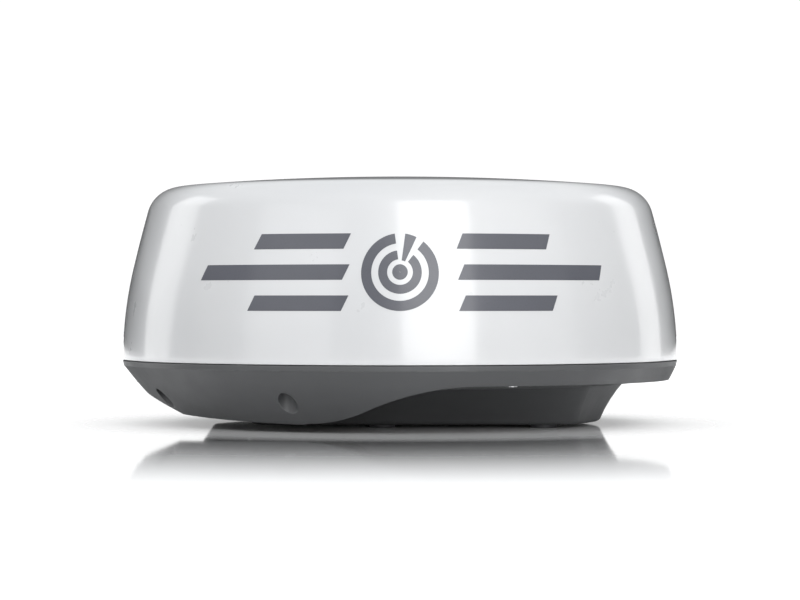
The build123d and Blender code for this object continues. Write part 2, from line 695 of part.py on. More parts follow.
def make_power_transformer():
    low = POWER_BOARD_Z + BOARD_THICKNESS
    core = block((100, 136), (-44, -12), (low, low + 24))
    winding = fillet(block((96, 140), (-38, -18), (low + 5, low + 19)).edges().filter_by(Axis.X), 4)
    return core + winding


def make_power_inductors():
    low = POWER_BOARD_Z + BOARD_THICKNESS
    return Compound([tube(9, 3.5, low, low + 9, at) for at in [(106, 8), (134, 6), (152, -26)]])


# --- rotating array -----------------------------------------------------------------------------

def antenna_bolt_centres():
    return [(x, y) for x in (-6, 6) for y in (-9, 9.5)]


def frame_bolt_centres():
    return [(x, z) for x in (-38, 38) for z in (ARRAY_BOTTOM + 12, ARRAY_TOP - 14)]


def spacer_centres():
    return [(x, z) for x in (-190, -95, 0, 95, 190) for z in (ARRAY_BOTTOM + 7, ARRAY_TOP - 7)]


def make_antenna_bracket():
    foot = block((-30, 30), (-26, 26), (SPINDLE_TOP, SPINDLE_TOP + 4))
    upright = block((-50, 50), (SHEET, SHEET + 4), (SPINDLE_TOP, ARRAY_TOP - 6))
    bracket = foot + upright
    for x in (-28, 24):
        low = SPINDLE_TOP + 3
        corner = [(SHEET + 3, low), (26, low), (26, low + 5), (SHEET + 3, ARRAY_TOP - 20)]
        gusset = extrude(Plane.YZ * make_face(Polyline(corner, close=True)), amount=4)
        bracket += Pos(x, 0, 0) * gusset
    for at in antenna_bolt_centres():
        bracket -= rod(1.5, SPINDLE_TOP - 1, SPINDLE_TOP + 5, at)
    for x, z in frame_bolt_centres():
        bracket -= along_y(1.5, 0, 20, x, z)
    return bracket - rod(3, 0, SPINDLE_TOP + 5)


def make_antenna_bolts():
    return Compound([cap_screw(1.5, 2.8, 2.6, SPINDLE_TOP + 4, 13, at) for at in antenna_bolt_centres()])


def make_back_frame():
    reach = ARRAY_HALF_LENGTH
    outer = block((-reach, reach), (SHEET - ARRAY_DEPTH, SHEET), (ARRAY_BOTTOM, ARRAY_TOP))
    inner = block((-reach + SHEET, reach - SHEET), (-50, 0), (ARRAY_BOTTOM + SHEET, ARRAY_TOP - SHEET))
    frame = outer - inner
    for x, z in frame_bolt_centres():
        frame -= along_y(1.5, -10, 20, x, z)
    for x, z in spacer_centres():
        frame -= along_y(1.0, -10, 20, x, z)
    return frame


def make_frame_bolts():
    bolts = []
    for x, z in frame_bolt_centres():
        bolt = along_y(1.5, -2, SHEET + 4, x, z) + along_y(2.8, SHEET + 4, SHEET + 6.6, x, z)
        bolts.append(bolt + along_y(2.8, -2.4, 0, x, z))
    return Compound(bolts)


def make_array_spacers():
    return Compound([along_y(2.6, ARRAY_BOARD_Y + BOARD_THICKNESS, 0, x, z) - along_y(1.0, -50, 20, x, z)
                     for x, z in spacer_centres()])


def make_array_screws():
    screws = []
    for x, z in spacer_centres():
        head = along_y(2.2, ARRAY_BOARD_Y - 1.4, ARRAY_BOARD_Y, x, z)
        screws.append(head + along_y(1.0, ARRAY_BOARD_Y, SHEET, x, z))
    return Compound(screws)


def make_array_board():
    reach = ARRAY_HALF_LENGTH - SHEET - 1
    board = block((-reach, reach), (ARRAY_BOARD_Y, ARRAY_BOARD_Y + BOARD_THICKNESS),
                  (ARRAY_BOTTOM + SHEET + 1, ARRAY_TOP - SHEET - 1))
    for x, z in spacer_centres():
        board -= along_y(1.0, -50, 20, x, z)
    return board


def make_array_patches():
    """Two rows of square patches in the printed array's front copper."""
    middle = (ARRAY_BOTTOM + ARRAY_TOP) / 2
    patches = []
    for row in (-1, 1):
        for i in range(PATCH_COUNT):
            x = (i - (PATCH_COUNT - 1) / 2) * PATCH_PITCH
            z = middle + row * 10
            patches.append(block((x - 5, x + 5), (ARRAY_BOARD_Y - 0.3, ARRAY_BOARD_Y), (z - 5, z + 5)))
    return Compound(patches)


def make_array_cover():
    """Thin plastic channel that closes the front of the back frame."""
    front = SHEET - ARRAY_DEPTH
    reach = ARRAY_HALF_LENGTH - SHEET
    low, high = ARRAY_BOTTOM + SHEET, ARRAY_TOP - SHEET
    cover = block((-reach, reach), (front - 1.5, front + 4), (low, high))
    cover -= block((-reach + 1.5, reach - 1.5), (front, front + 5), (low + 1.5, high - 1.5))
    return cover


def make_counterweight():
    weight = block((-22, 22), (SHEET + 4, SHEET + 20), (SPINDLE_TOP + 10, SPINDLE_TOP + 24))
    return chamfer(weight.edges().filter_by(Axis.Z), 1.5)


def main():
    main_board = ((-120, 120), (62, 158), MAIN_BOARD_Z)
    power_board = ((78, 166), (-90, 24), POWER_BOARD_Z)
    nodes = {
        "radome_cover": make_radome_cover(),
        "cover_inserts": make_cover_inserts(),
        "base_casting": make_base_casting(),
        "rim_seal": make_rim_seal(),
        "cover_screws": make_cover_screws(),
        "screw_washers": make_screw_washers(),
        "mounting_inserts": make_mounting_inserts(),
        "rest_pads": make_rest_pads(),
        "connector_shell": make_connector_shell(),
        "connector_insert": make_connector_insert(),
        "connector_pins": make_connector_pins(),
        "connector_gasket": make_connector_gasket(),
        "connector_nut": make_connector_nut(),
        "breather_vent": make_breather_vent(),
        "chassis_plate": make_chassis_plate(),
        "chassis_screws": make_chassis_screws(),
        "bearing_housing": make_bearing_housing(),
        "housing_screws": make_housing_screws(),
        "bearing_outer_races": make_outer_races(),
        "bearing_balls": make_bearing_balls(),
        "bearing_inner_races": make_inner_races(),
        "motor_body": make_motor_body(),
        "motor_bracket": make_motor_bracket(),
        "motor_screws": make_motor_screws(),
        "bracket_screws": make_bracket_screws(),
        "motor_shaft": make_motor_shaft(),
        "motor_pulley": make_motor_pulley(),
        "pulley_grub_screw": make_pulley_grub_screw(),
        "drive_belt": make_drive_belt(),
        "turntable_pulley": make_turntable_pulley(),
        "pulley_screws": make_pulley_screws(),
        "spindle": make_spindle(),
        "retaining_ring": make_retaining_ring(),
        "rotary_joint_housing": make_rotary_joint_housing(),
        "rotary_joint_screws": make_rotary_joint_screws(),
        "rotary_joint_rotor": make_rotary_joint_rotor(),
        "sensor_bracket": make_sensor_bracket(),
        "heading_sensor": make_heading_sensor(),
        "index_magnet": make_index_magnet(),
        "transceiver_board": make_board(*main_board),
        "board_standoffs": make_board_standoffs([main_board, power_board]),
        "board_screws": make_board_screws([main_board, power_board]),
        "board_chips": make_board_chips(),
        "board_headers": make_board_headers(),
        "rf_shield_can": make_rf_shield_can(),
        "heat_sink": make_heat_sink(),
        "power_board": make_board(*power_board),
        "power_capacitors": make_power_capacitors(),
        "power_transformer": make_power_transformer(),
        "power_inductors": make_power_inductors(),
        "antenna_bracket": make_antenna_bracket(),
        "antenna_bolts": make_antenna_bolts(),
        "back_frame": make_back_frame(),
        "frame_bolts": make_frame_bolts(),
        "counterweight": make_counterweight(),
        "array_spacers": make_array_spacers(),
        "array_screws": make_array_screws(),
        "array_board": make_array_board(),
        "array_patches": make_array_patches(),
        "array_cover": make_array_cover(),
    }
    for node, shape in nodes.items():
        save(node, shape)


main()
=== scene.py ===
import json
import math

import bmesh
import bpy
from mathutils import Matrix, Vector

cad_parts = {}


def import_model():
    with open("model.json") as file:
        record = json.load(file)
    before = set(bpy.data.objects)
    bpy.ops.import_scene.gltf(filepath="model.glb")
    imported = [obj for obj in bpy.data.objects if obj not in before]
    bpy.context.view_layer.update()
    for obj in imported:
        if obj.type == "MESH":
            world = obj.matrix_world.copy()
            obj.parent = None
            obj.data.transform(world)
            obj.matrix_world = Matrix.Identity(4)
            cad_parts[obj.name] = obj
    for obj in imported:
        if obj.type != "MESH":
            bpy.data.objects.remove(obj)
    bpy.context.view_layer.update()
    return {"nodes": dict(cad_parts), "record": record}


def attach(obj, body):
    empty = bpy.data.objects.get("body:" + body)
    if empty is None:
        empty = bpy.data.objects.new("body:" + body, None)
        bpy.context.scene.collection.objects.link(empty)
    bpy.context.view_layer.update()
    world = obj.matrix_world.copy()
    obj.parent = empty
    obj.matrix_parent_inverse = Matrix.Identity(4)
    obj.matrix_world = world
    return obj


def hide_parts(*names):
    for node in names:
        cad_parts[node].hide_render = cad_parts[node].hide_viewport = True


# A marine radar dome: glossy white cover, satin grey cast base, rotating array inside. Metres, Z up.

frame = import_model()

# --- the cover's driving sizes --------------------------------------------------------------------
RIM_RADIUS = 0.255
RIM_Z = 0.0593
WALL = 0.004
LOWER_ARC_RADIUS = 0.364
LOWER_ARC_TURN = math.radians(13.2)
CROWN_CORNER = (0.2264, 0.2147)
APEX_Z = 0.2255
SHOULDER_RADIUS = 0.030
FLANGE_RADIUS = 0.243
FLANGE_THICKNESS = 0.004
BOSS_CIRCLE = 0.229
BOSS_RADIUS = 0.008
BOSS_BORE = 0.004
BOSS_BOTTOM = 0.0508
BOSS_TOP = 0.092
BOSS_AZIMUTHS = [side * a for a in (24.5, 65.5, 114.5, 155.5) for side in (-1, 1)]
BOSS_BORE_DEPTH = 0.024
BOSS_SOFT_EDGE = 0.0007
BOSS_SEGMENTS = 48
BOSS_BEVEL = 0.0004
WEB_HALF_THICKNESS = 0.002
RIM_EDGE = 0.0008
ROUND_SEGMENTS = 256

# --- the decal's sizes ------------------------------------------------------------------------------
DECAL_LOW = 0.1045
DECAL_HIGH = 0.1696
DECAL_HALF_ANGLE = math.radians(45)
DECAL_LIFT = 0.00012
SIGN_RINGS = ((1.0, 0.0085), (0.56, 0.0075))
SIGN_TO_BARS = 0.016
BAR_SLANT = 0.006
BAR_REACHES = (0.62, 1.0, 0.62)
DECAL_COLOUR = (0.085, 0.088, 0.105)

# --- the studio ---------------------------------------------------------------------------------------
HORIZON_LIGHT = 0.10
SKY_LIGHT = 1.05
CARD_RADIUS = 6.0
CARD_HEIGHT = 0.8
CARD_LIGHT = 1.05
BACKDROP_LIGHT = 1.05
FLOOR_RADIUS = 40
LIGHT_AIM = (0, 0, 0.12)

# From a near to a far distance from the axis, each goes from its first level to its second.
# The floor's painted glow: none near the axis and rising outward, so the floor round the object is darker as
# painted shade.
FLOOR_PAINTED_GLOW_AND_SHADE = (0.25, 1.5, 0.0, 0.5)
MIRROR_FADE = (0.32, 1.02, 0.95, 0.0)
MIRROR_UNDER = (0.20, 0.34, 0.35, 1.0)

# Each light's azimuth from the front, distance, height, size and power.
LIGHTS = {
    "left_strip": (-113, 2.2, 0.6, (0.85, 2.0), 8.5),
    "right_strip": (120, 2.2, 0.6, (0.75, 2.0), 7),
    "front_panel": (15, 3.0, 1.0, (1.6, 2.8), 50),
    "left_fill": (-45, 3.2, 0.9, (2.2, 2.0), 12),
    "right_fill": (56, 3.2, 0.9, (2.0, 2.0), 6),
}

# --- the camera -------------------------------------------------------------------------------------
CAMERA_DISTANCE = 2.5
CAMERA_HEIGHT = 0.1137
CAMERA_LENS = 121.6


# ====================================================================================================
# Material nodes
# ====================================================================================================

NOISE_ROUGHNESS = 0.55


def set_range(node, low, high, out_low, out_high):
    """Sets a Map Range node to take low..high to out_low..out_high."""
    ends = {"From Min": low, "From Max": high, "To Min": out_low, "To Max": out_high}
    for socket, number in ends.items():
        node.inputs[socket].default_value = number


class Shader:
    """A material under construction: a Principled shader and short ways to add nodes to it."""

    def __init__(self, name):
        self.material = bpy.data.materials.new(name)
        self.material.use_nodes = True
        self.tree = self.material.node_tree
        self.surface = self.tree.nodes["Principled BSDF"]
        self.place = self.node("ShaderNodeTexCoord").outputs["Object"]

    def node(self, kind, **settings):
        made = self.tree.nodes.new(kind)
        for key, value in settings.items():
            setattr(made, key, value)
        return made

    def link(self, source, target):
        self.tree.links.new(source, target)

    def set(self, **values):
        for key, value in values.items():
            self.surface.inputs[key.replace("_", " ")].default_value = value

    def noise(self, scale, detail=4.0, stretch=(1, 1, 1)):
        mapping = self.node("ShaderNodeMapping")
        mapping.inputs["Scale"].default_value = stretch
        self.link(self.place, mapping.inputs["Vector"])
        noise = self.node("ShaderNodeTexNoise")
        noise.inputs["Scale"].default_value = scale
        noise.inputs["Detail"].default_value = detail
        noise.inputs["Roughness"].default_value = NOISE_ROUGHNESS
        self.link(mapping.outputs["Vector"], noise.inputs["Vector"])
        return noise.outputs["Fac"]

    def spread(self, value, low, high, out_low=0.0, out_high=1.0):
        """Maps a value's low..high to out_low..out_high, clamped."""
        made = self.node("ShaderNodeMapRange")
        set_range(made, low, high, out_low, out_high)
        self.link(value, made.inputs["Value"])
        return made.outputs["Result"]

    def math(self, operation, first, second):
        made = self.node("ShaderNodeMath", operation=operation)
        for socket, value in zip(made.inputs, (first, second)):
            if isinstance(value, (int, float)):
                socket.default_value = value
            else:
                self.link(value, socket)
        return made.outputs["Value"]

    def mix(self, factor, first, second):
        """Colour mix; first and second are colours or sockets."""
        made = self.node("ShaderNodeMix", data_type="RGBA")
        self.link(factor, made.inputs["Factor"])
        for socket, value in ((made.inputs[6], first), (made.inputs[7], second)):
            if isinstance(value, tuple):
                socket.default_value = (*value, 1)
            else:
                self.link(value, socket)
        return made.outputs[2]

    def edges(self, radius):
        """0 on flat faces and 1 where faces meet within radius."""
        bevel = self.node("ShaderNodeBevel", samples=4)
        bevel.inputs["Radius"].default_value = radius
        geometry = self.node("ShaderNodeNewGeometry")
        dot = self.node("ShaderNodeVectorMath", operation="DOT_PRODUCT")
        self.link(bevel.outputs["Normal"], dot.inputs[0])
        self.link(geometry.outputs["Normal"], dot.inputs[1])
        return self.spread(dot.outputs["Value"], 0.995, 0.9), bevel.outputs["Normal"]

    def bump(self, height, distance, strength=1.0, normal=None):
        made = self.node("ShaderNodeBump")
        made.inputs["Distance"].default_value = distance
        made.inputs["Strength"].default_value = strength
        self.link(height, made.inputs["Height"])
        if normal is not None:
            self.link(normal, made.inputs["Normal"])
        self.link(made.outputs["Normal"], self.surface.inputs["Normal"])

    def colour(self, socket):
        self.link(socket, self.surface.inputs["Base Color"])

    def roughness(self, socket):
        self.link(socket, self.surface.inputs["Roughness"])


def shade(colour, factor):
    return tuple(min(1.0, c * factor) for c in colour)


def plain_finish(name, colour, rough, metal=0.0, variation=0.12, grain=900.0, grain_depth=0.00004,
                 stretch=(1, 1, 1), wear=None, wear_radius=0.0008, rough_swing=0.08):
    """The common recipe: slow colour drift, fine grain, worn edges, uneven roughness and bump."""
    s = Shader(name)
    s.set(Metallic=metal)
    drift = s.noise(14, 3)
    tint = s.mix(s.spread(drift, 0.3, 0.7), shade(colour, 1 - variation), shade(colour, 1 + variation))
    fine = s.noise(grain, 2, stretch)
    tint = s.mix(s.spread(fine, 0.35, 0.65, 0.0, 0.35), tint, shade(colour, 1 - variation * 1.6))
    edge, rounded = s.edges(wear_radius)
    if wear:
        patchy = s.math("MULTIPLY", edge, s.spread(s.noise(160, 3), 0.45, 0.62))
        tint = s.mix(patchy, tint, wear)
    s.colour(tint)
    s.roughness(s.spread(s.noise(60, 4), 0.3, 0.7, rough - rough_swing, rough + rough_swing))
    s.bump(fine, grain_depth, normal=rounded)
    return s.material


def gelcoat():
    """Glossy white moulded cover: faint orange peel, a slight cool drift and a clear top coat."""
    s = Shader("gelcoat_white")
    s.set(Coat_Weight=1.0, Coat_Roughness=0.12, IOR=1.6)
    drift = s.noise(5, 3)
    tint = s.mix(s.spread(drift, 0.35, 0.65), (0.60, 0.607, 0.618), (0.63, 0.635, 0.642))
    specks = s.spread(s.noise(420, 2), 0.66, 0.74, 0.0, 0.25)
    s.colour(s.mix(specks, tint, (0.57, 0.575, 0.58)))
    s.roughness(s.spread(s.noise(30, 4), 0.3, 0.7, 0.27, 0.34))
    s.bump(s.noise(240, 2), 0.00002, 0.35)
    return s.material


def cover_inside():
    """The cover's bare inner face: matt, faintly marbled laminate."""
    s = Shader("laminate_inside")
    cloudy = s.noise(26, 6)
    fibres = s.noise(500, 3, (1, 6, 1))
    tint = s.mix(s.spread(cloudy, 0.3, 0.7), (0.60, 0.60, 0.57), (0.72, 0.72, 0.70))
    s.colour(s.mix(s.spread(fibres, 0.4, 0.7, 0, 0.4), tint, (0.52, 0.52, 0.50)))
    s.roughness(s.spread(cloudy, 0.3, 0.7, 0.5, 0.68))
    s.bump(fibres, 0.00012, 0.6)
    return s.material


def powder_coat():
    """Satin dark grey powder coat on the casting: fine texture and lighter rubbed edges."""
    s = Shader("powder_coat_grey")
    s.set(IOR=1.5)
    base = (0.078, 0.080, 0.083)
    drift = s.noise(7, 4)
    tint = s.mix(s.spread(drift, 0.3, 0.7), shade(base, 0.93), shade(base, 1.07))
    grain = s.noise(1500, 2)
    tint = s.mix(s.spread(grain, 0.3, 0.7, 0, 0.4), tint, shade(base, 0.82))
    edge, rounded = s.edges(0.0016)
    rubbed = s.math("MULTIPLY", edge, s.spread(s.noise(90, 4), 0.4, 0.65, 0.1, 0.55))
    s.colour(s.mix(rubbed, tint, (0.20, 0.20, 0.205)))
    s.roughness(s.spread(s.noise(45, 4), 0.3, 0.7, 0.40, 0.50))
    s.bump(grain, 0.00003, 0.5, rounded)
    return s.material


def brushed(name, colour, rough, stretch):
    return plain_finish(name, colour, rough, metal=1.0, variation=0.07, grain=700, stretch=stretch,
                        grain_depth=0.00003, rough_swing=0.06)


def circuit_board(name):
    """Green solder mask with fine traces under it and small glossier spots."""
    s = Shader(name)
    s.set(Coat_Weight=0.3, Coat_Roughness=0.15)
    traces = s.node("ShaderNodeTexBrick")
    traces.inputs["Scale"].default_value = 150
    traces.inputs["Mortar Size"].default_value = 0.035
    traces.inputs["Mortar Smooth"].default_value = 0.1
    traces.inputs["Brick Width"].default_value = 1.6
    traces.inputs["Row Height"].default_value = 0.35
    s.link(s.place, traces.inputs["Vector"])
    islands = s.spread(s.noise(38, 1), 0.5, 0.54)
    shown = s.math("MULTIPLY", traces.outputs["Fac"], islands)
    mask = s.mix(s.spread(s.noise(20, 3), 0.3, 0.7), (0.010, 0.085, 0.040), (0.016, 0.115, 0.055))
    s.colour(s.mix(shown, mask, (0.05, 0.22, 0.10)))
    vias = s.node("ShaderNodeTexVoronoi")
    vias.inputs["Scale"].default_value = 160
    s.link(s.place, vias.inputs["Vector"])
    s.roughness(s.spread(vias.outputs["Distance"], 0.05, 0.3, 0.2, 0.42))
    s.bump(shown, 0.00006, 0.6)
    return s.material


def belt_rubber():
    """Black belt with moulded cross ribs."""
    s = Shader("belt_rubber")
    wave = s.node("ShaderNodeTexWave", bands_direction="DIAGONAL")
    wave.inputs["Scale"].default_value = 95
    wave.inputs["Distortion"].default_value = 0.0
    s.link(s.place, wave.inputs["Vector"])
    s.colour(s.mix(s.spread(s.noise(200, 3), 0.3, 0.7), (0.012, 0.012, 0.012), (0.030, 0.030, 0.031)))
    s.roughness(s.spread(s.noise(90, 3), 0.3, 0.7, 0.55, 0.75))
    s.bump(wave.outputs["Fac"], 0.0004, 0.7)
    return s.material


def capacitor_sleeve():
    """Dark blue shrink sleeve with a pale polarity stripe and a bare aluminium top."""
    s = Shader("capacitor_sleeve")
    normal = s.node("ShaderNodeNewGeometry").outputs["Normal"]
    split = s.node("ShaderNodeSeparateXYZ")
    s.link(normal, split.inputs["Vector"])
    sleeve = s.mix(s.spread(s.noise(60, 3), 0.3, 0.7), (0.012, 0.022, 0.075), (0.020, 0.032, 0.10))
    stripe = s.spread(split.outputs["Y"], -0.965, -0.975)
    sleeve = s.mix(stripe, sleeve, (0.55, 0.58, 0.62))
    top = s.spread(split.outputs["Z"], 0.9, 0.95)
    s.colour(s.mix(top, sleeve, (0.62, 0.62, 0.63)))
    s.link(top, s.surface.inputs["Metallic"])
    s.roughness(s.spread(s.noise(120, 3), 0.3, 0.7, 0.25, 0.4))
    s.bump(s.noise(500, 2), 0.00003, 0.4)
    return s.material


def slot_materials():
    """One finish for each of the record's material slots."""
    fine = plain_finish
    return {
        "cover_white": gelcoat(),
        "base_grey": powder_coat(),
        "seal_rubber": fine("seal_rubber", (0.018, 0.018, 0.019), 0.6, grain=700, grain_depth=0.00006),
        "pad_rubber": fine("pad_rubber", (0.055, 0.056, 0.060), 0.58, grain=600, grain_depth=0.00008),
        "stainless": fine("stainless_steel", (0.56, 0.56, 0.57), 0.26, metal=1, variation=0.08, grain=1200,
                          wear=(0.75, 0.75, 0.76), wear_radius=0.0004),
        "brass": fine("brass_turned", (0.62, 0.43, 0.17), 0.28, metal=1, variation=0.10, grain=1100,
                      wear=(0.85, 0.68, 0.36), wear_radius=0.0004),
        "black_plastic": fine("moulded_black", (0.022, 0.022, 0.024), 0.48, grain=1000,
                              wear=(0.07, 0.07, 0.07), wear_radius=0.0004),
        "contact_gold": fine("plated_gold", (0.80, 0.55, 0.20), 0.22, metal=1, variation=0.06, grain=1400,
                             grain_depth=0.00001),
        "chassis_aluminium": brushed("sheet_aluminium", (0.60, 0.61, 0.63), 0.36, (1, 14, 1)),
        "cast_aluminium": fine("cast_aluminium", (0.46, 0.47, 0.49), 0.46, metal=1, variation=0.12, grain=420,
                               grain_depth=0.00012, wear=(0.72, 0.72, 0.73), wear_radius=0.0008),
        "bearing_steel": fine("ground_steel", (0.58, 0.58, 0.60), 0.2, metal=1, variation=0.05, grain=1300,
                              stretch=(1, 1, 12), grain_depth=0.00001),
        "motor_black": fine("motor_enamel", (0.020, 0.020, 0.022), 0.38, grain=900, wear=(0.30, 0.30, 0.30),
                            wear_radius=0.0006),
        "belt_rubber": belt_rubber(),
        "pulley_acetal": fine("acetal_ivory", (0.62, 0.60, 0.53), 0.42, variation=0.07, grain=700,
                              wear=(0.72, 0.70, 0.64)),
        "board_green": circuit_board("circuit_board"),
        "chip_black": fine("moulded_epoxy", (0.020, 0.020, 0.022), 0.5, grain=1600, wear=(0.06, 0.06, 0.06),
                           wear_radius=0.0003),
        "header_ivory": fine("nylon_ivory", (0.62, 0.59, 0.50), 0.5, variation=0.06, grain=900),
        "tinplate": brushed("tinplate", (0.62, 0.62, 0.60), 0.3, (10, 1, 1)),
        "sink_black": fine("anodised_black", (0.030, 0.030, 0.033), 0.4, metal=0.6, grain=1200,
                           wear=(0.35, 0.35, 0.36), wear_radius=0.0004),
        "capacitor_blue": capacitor_sleeve(),
        "ferrite": fine("ferrite_core", (0.045, 0.042, 0.042), 0.55, grain=800, wear=(0.12, 0.11, 0.11)),
        "array_grey": fine("array_cover_grey", (0.52, 0.53, 0.54), 0.45, variation=0.06, grain=900,
                           wear=(0.66, 0.66, 0.66)),
        "frame_aluminium": brushed("folded_aluminium", (0.56, 0.57, 0.59), 0.38, (14, 1, 1)),
        "magnet_nickel": fine("nickel_plate", (0.66, 0.65, 0.62), 0.16, metal=1, variation=0.04, grain=1200,
                              grain_depth=0.00001),
    }


# ====================================================================================================
# The cover
# ====================================================================================================

def circle_crossing(centre_a, radius_a, centre_b, radius_b):
    """Of the two crossings of two circles, the one farther out and up."""
    a, b = Vector(centre_a), Vector(centre_b)
    gap = (b - a).length
    along = (radius_a ** 2 - radius_b ** 2 + gap ** 2) / (2 * gap)
    off = math.sqrt(radius_a ** 2 - along ** 2)
    line = (b - a) / gap
    both = [a + line * along + Vector((-line.y, line.x)) * off * side for side in (1, -1)]
    return max(both, key=lambda p: p.x + p.y)


def arc(centre, radius, start, end, count):
    """Points along an arc between two angles, both ends included."""
    return [(centre[0] + radius * math.cos(start + (end - start) * i / count),
             centre[1] + radius * math.sin(start + (end - start) * i / count)) for i in range(count + 1)]


def angle_of(point, centre):
    return math.atan2(point[1] - centre[1], point[0] - centre[0])


def dome_profile(inset):
    """(radius, height) points from the rim up to the apex: two wall arcs, the shoulder and the crown."""
    lower_centre = (RIM_RADIUS - LOWER_ARC_RADIUS, RIM_Z)
    join = Vector(arc(lower_centre, LOWER_ARC_RADIUS, 0, LOWER_ARC_TURN, 1)[-1])
    inward = Vector((-math.cos(LOWER_ARC_TURN), -math.sin(LOWER_ARC_TURN)))
    chord = Vector(CROWN_CORNER) - join
    upper_radius = chord.length_squared / (2 * chord.dot(inward))
    upper_centre = join + inward * upper_radius
    drop = APEX_Z - CROWN_CORNER[1]
    crown_radius = (CROWN_CORNER[0] ** 2 + drop ** 2) / (2 * drop)
    crown_centre = Vector((0, APEX_Z - crown_radius))
    shoulder_centre = circle_crossing(crown_centre, crown_radius - SHOULDER_RADIUS,
                                      upper_centre, upper_radius - SHOULDER_RADIUS)
    wall_end = angle_of(shoulder_centre, upper_centre)
    crown_start = angle_of(shoulder_centre, crown_centre)
    points = arc(lower_centre, LOWER_ARC_RADIUS - inset, 0, LOWER_ARC_TURN, 16)
    points += arc(upper_centre, upper_radius - inset, LOWER_ARC_TURN, wall_end, 10)[1:]
    points += arc(shoulder_centre, SHOULDER_RADIUS - inset, wall_end, crown_start, 16)[1:]
    points += arc(crown_centre, crown_radius - inset, crown_start, math.pi / 2, 28)[1:-1]
    return points + [(0.0, APEX_Z - inset)]


def dome_radius(z):
    """The cover's outer radius at a height on its wall."""
    for (r0, z0), (r1, z1) in zip(OUTER_PROFILE, OUTER_PROFILE[1:]):
        if z0 <= z <= z1:
            return r0 + (r1 - r0) * (z - z0) / (z1 - z0)
    return RIM_RADIUS


OUTER_PROFILE = dome_profile(0)


def lathe(mesh, profile, segments, centre=(0, 0), material=0):
    """Adds a surface of revolution to a bmesh; a point at radius 0 becomes a pole."""
    rings = []
    for radius, z in profile:
        if radius < 1e-6:
            rings.append([mesh.verts.new((centre[0], centre[1], z))])
            continue
        turns = [math.tau * i / segments for i in range(segments)]
        around = [(centre[0] + radius * math.sin(t), centre[1] - radius * math.cos(t), z) for t in turns]
        rings.append([mesh.verts.new(place) for place in around])
    for low, high in zip(rings, rings[1:]):
        for i in range(segments):
            j = (i + 1) % segments
            corners = [low[i % len(low)], low[j % len(low)], high[j % len(high)], high[i % len(high)]]
            unique = list(dict.fromkeys(corners))
            if len(unique) > 2:
                mesh.faces.new(unique).material_index = material


def make_object(name, mesh, body, slot, *materials):
    bmesh.ops.recalc_face_normals(mesh, faces=mesh.faces)
    data = bpy.data.meshes.new(name)
    mesh.to_mesh(data)
    mesh.free()
    for face in data.polygons:
        face.use_smooth = True
    made = bpy.data.objects.new(name, data)
    bpy.context.scene.collection.objects.link(made)
    for material in materials:
        data.materials.append(material)
    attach(made, body)
    return made


def round_edges(piece, width):
    """Bevels the sharp edges and keeps flat faces flat in shading."""
    bevel = piece.modifiers.new("edge", "BEVEL")
    bevel.width = width
    bevel.segments = 2
    bevel.limit_method = "ANGLE"
    bevel.angle_limit = math.radians(35)
    bevel.harden_normals = True


def cover_shell(white, inside):
    """Outer skin, rolled rim edge, flange and inner skin in one closed shell."""
    mesh = bmesh.new()
    rim_centre = (RIM_RADIUS - RIM_EDGE, RIM_Z + RIM_EDGE)
    outer = [(RIM_RADIUS - RIM_EDGE, RIM_Z)] + arc(rim_centre, RIM_EDGE, -math.pi / 2, 0, 5)[1:]
    outer += [p for p in OUTER_PROFILE if p[1] > RIM_Z + RIM_EDGE]
    lathe(mesh, outer, ROUND_SEGMENTS)
    flange_top = RIM_Z + FLANGE_THICKNESS
    inner = [p for p in dome_profile(WALL) if p[1] > flange_top + 0.002]
    under = [(RIM_RADIUS - RIM_EDGE, RIM_Z), (FLANGE_RADIUS, RIM_Z), (FLANGE_RADIUS, flange_top)]
    corner = (RIM_RADIUS - WALL - 0.0002, flange_top)
    lathe(mesh, under + [corner] + inner, ROUND_SEGMENTS, material=1)
    bmesh.ops.remove_doubles(mesh, verts=mesh.verts, dist=1e-6)
    shell = make_object("radome_shell", mesh, "radome", "cover_white", white, inside)
    shell.data.set_sharp_from_angle(angle=math.radians(40))
    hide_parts("radome_cover")


def cover_bosses(inside):
    """Screw bosses with a bore, a softened mouth and a tapered web out to the wall."""
    mesh = bmesh.new()
    soft = BOSS_SOFT_EDGE
    blind = BOSS_BOTTOM + BOSS_BORE_DEPTH
    profile = [(BOSS_BORE, blind), (BOSS_BORE, BOSS_BOTTOM + soft), (BOSS_BORE + soft, BOSS_BOTTOM),
               (BOSS_RADIUS - soft, BOSS_BOTTOM), (BOSS_RADIUS, BOSS_BOTTOM + soft),
               (BOSS_RADIUS, BOSS_TOP - soft), (BOSS_RADIUS - soft, BOSS_TOP), (0, BOSS_TOP)]
    for azimuth in BOSS_AZIMUTHS:
        turn = math.radians(azimuth)
        centre = (BOSS_CIRCLE * math.sin(turn), -BOSS_CIRCLE * math.cos(turn))
        lathe(mesh, [(0, blind)] + profile, BOSS_SEGMENTS, centre)
        low, high = RIM_Z + FLANGE_THICKNESS - 0.001, BOSS_TOP - 0.004
        far = RIM_RADIUS - WALL + 0.001
        near = BOSS_CIRCLE + BOSS_RADIUS - 0.001
        corners = [(near, low), (far, low), (far - 0.0008, high + 0.012), (near, high)]
        spin = Matrix.Rotation(turn - math.pi / 2, 4, "Z")
        sides = []
        for side in (-WEB_HALF_THICKNESS, WEB_HALF_THICKNESS):
            sides.append([mesh.verts.new(spin @ Vector((r, side, z))) for r, z in corners])
        mesh.faces.new(sides[0])
        mesh.faces.new(reversed(sides[1]))
        for i in range(4):
            j = (i + 1) % 4
            mesh.faces.new((sides[0][i], sides[0][j], sides[1][j], sides[1][i]))
    bosses = make_object("cover_bosses", mesh, "radome", "cover_white", inside)
    bosses.data.set_sharp_from_angle(angle=math.radians(35))
    round_edges(bosses, BOSS_BEVEL)


# ====================================================================================================
# The decal: a generic sweep mark between slanted bars, bent round the wall
# ====================================================================================================

